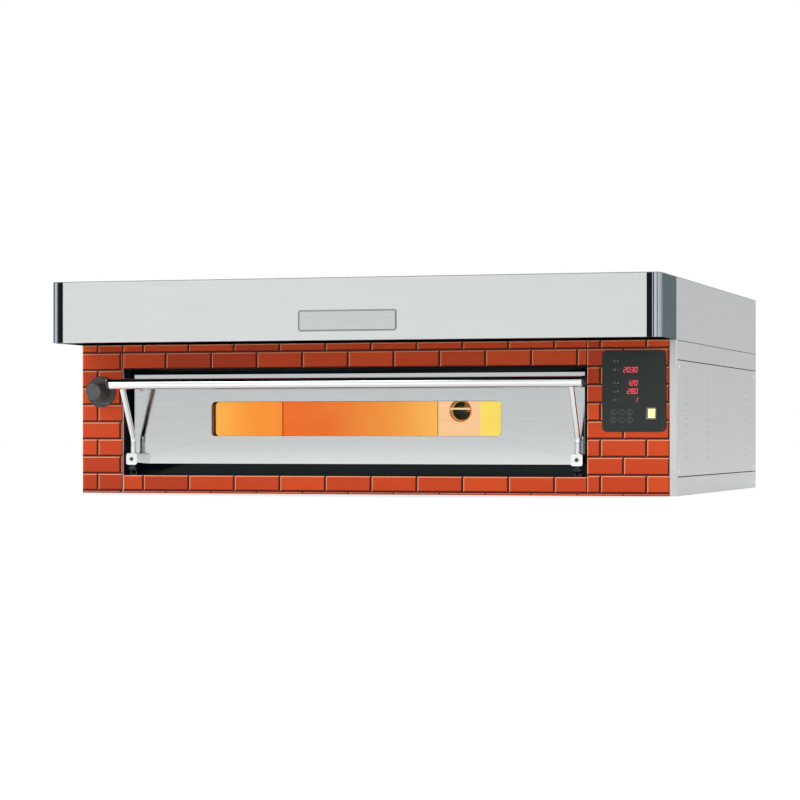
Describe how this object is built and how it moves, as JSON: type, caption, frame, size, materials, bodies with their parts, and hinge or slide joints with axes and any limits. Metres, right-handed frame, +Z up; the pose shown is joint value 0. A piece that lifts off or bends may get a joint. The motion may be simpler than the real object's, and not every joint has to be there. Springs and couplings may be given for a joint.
{
  "type": "deck oven",
  "caption": "Low electric deck oven with a brick-faced front, a bottom-hinged door with window and long bar handle, and a canopy hood.",
  "frame": {"origin": "centre of the body's footprint, on the plane that it stands on", "axes": "+Z up, -Y out of the door, +X to the right of someone who faces the door"},
  "size_m": [1.4, 1.284, 0.53],
  "materials": {
    "casing_steel": "satin, fine horizontal grain",
    "hood_steel": "satin, light grey",
    "hood_trim": "polished, fluted",
    "galvanised": "dull zinc",
    "door_steel": "satin polish that mirrors softly",
    "polished_steel": "bright polish",
    "brick_facing": "glazed orange-red brick pattern, semi-matt",
    "black_enamel": "dark satin enamel",
    "chamber_steel": "heat-tinted steel",
    "seal_braid": "woven glass-fibre braid",
    "refractory": "matt fireclay",
    "mineral_wool": "fibrous",
    "element_sheath": "oxidised heating element sheath",
    "oven_glass": "clear, heat resistant",
    "lamp_glass": "clear, warm light behind it",
    "black_plastic": "satin black",
    "knob_plastic": "satin dark grey",
    "overlay_film": "dark grey polyester film, fine texture",
    "key_film": "dark grey, pale rim",
    "rocker_plastic": "lit from inside",
    "board": "green circuit board",
    "contactor_plastic": "light grey",
    "plate_metal": "satin, blank"
  },
  "bodies": {
    "casing": {"base_pan": "galvanised", "side_panels": "casing_steel", "side_bands": "casing_steel", "panel_screws": "polished_steel", "back_panel": "casing_steel", "top_cover": "galvanised", "corner_posts": "galvanised", "cable_gland": "black_plastic", "brick_panel_left": "brick_facing", "brick_panel_right": "brick_facing", "brick_strip_top": "brick_facing", "brick_strip_bottom": "brick_facing", "corner_trim": "casing_steel", "door_surround": "black_enamel", "mouth_frame": "black_enamel", "door_gasket": "seal_braid", "chamber_shell": "chamber_steel", "deck_stones": "refractory", "stone_supports": "galvanised", "bottom_elements": "element_sheath", "top_elements": "element_sheath", "insulation": "mineral_wool", "lamp_bezel": "polished_steel", "lamp_glass": "lamp_glass", "lamp_housing": "galvanised", "lamp_bulb": "lamp_glass", "temperature_probe": "polished_steel", "vapour_duct": "galvanised", "damper_dial": "black_plastic", "control_overlay": "overlay_film", "switch_bezel": "black_plastic", "control_board": "board", "contactors": "contactor_plastic", "terminal_block": "contactor_plastic", "hinge_brackets": "polished_steel", "hinge_pins": "polished_steel", "hood_top": "hood_steel", "hood_sides": "hood_steel", "hood_corners": "hood_trim", "hood_fascia": "hood_steel", "hood_back": "hood_steel", "flue_collar": "galvanised", "name_plate": "plate_metal"},
    "door": {"door_panel": "door_steel", "door_liner": "chamber_steel", "door_core": "mineral_wool", "door_glass": "oven_glass", "pivot_blocks": "polished_steel", "handle_arms": "polished_steel", "handle_bar": "polished_steel", "bar_end_caps": "black_plastic"},
    "damper": {"damper_vane": "galvanised", "damper_knob": "knob_plastic"},
    "rocker": {"light_switch": "rocker_plastic"},
    "key_1": {"key_1": "key_film"},
    "key_2": {"key_2": "key_film"},
    "key_3": {"key_3": "key_film"},
    "key_4": {"key_4": "key_film"},
    "key_5": {"key_5": "key_film"},
    "key_6": {"key_6": "key_film"}
  },
  "joints": [
    {"name": "door_hinge", "type": "hinge", "parent": "casing", "child": "door", "pos_m": [-0.04825, -0.537, 0.057], "axis": [1, 0, 0], "range_deg": [0, 80]},
    {"name": "damper_turn", "type": "hinge", "parent": "casing", "child": "damper", "pos_m": [-0.6522, -0.545, 0.234], "axis": [0, -1, 0], "range_deg": [0, 90]},
    {"name": "switch_rock", "type": "hinge", "parent": "casing", "child": "rocker", "pos_m": [0.6452, -0.5455, 0.1804], "axis": [1, 0, 0], "range_deg": [0, 14]},
    {"name": "key_1_press", "type": "slide", "parent": "casing", "child": "key_1", "axis": [0, 1, 0], "range_m": [0, 0.0005], "stiffness_N_per_m": 300},
    {"name": "key_2_press", "type": "slide", "parent": "casing", "child": "key_2", "axis": [0, 1, 0], "range_m": [0, 0.0005], "stiffness_N_per_m": 300},
    {"name": "key_3_press", "type": "slide", "parent": "casing", "child": "key_3", "axis": [0, 1, 0], "range_m": [0, 0.0005], "stiffness_N_per_m": 300},
    {"name": "key_4_press", "type": "slide", "parent": "casing", "child": "key_4", "axis": [0, 1, 0], "range_m": [0, 0.0005], "stiffness_N_per_m": 300},
    {"name": "key_5_press", "type": "slide", "parent": "casing", "child": "key_5", "axis": [0, 1, 0], "range_m": [0, 0.0005], "stiffness_N_per_m": 300},
    {"name": "key_6_press", "type": "slide", "parent": "casing", "child": "key_6", "axis": [0, 1, 0], "range_m": [0, 0.0005], "stiffness_N_per_m": 300}
  ]
}
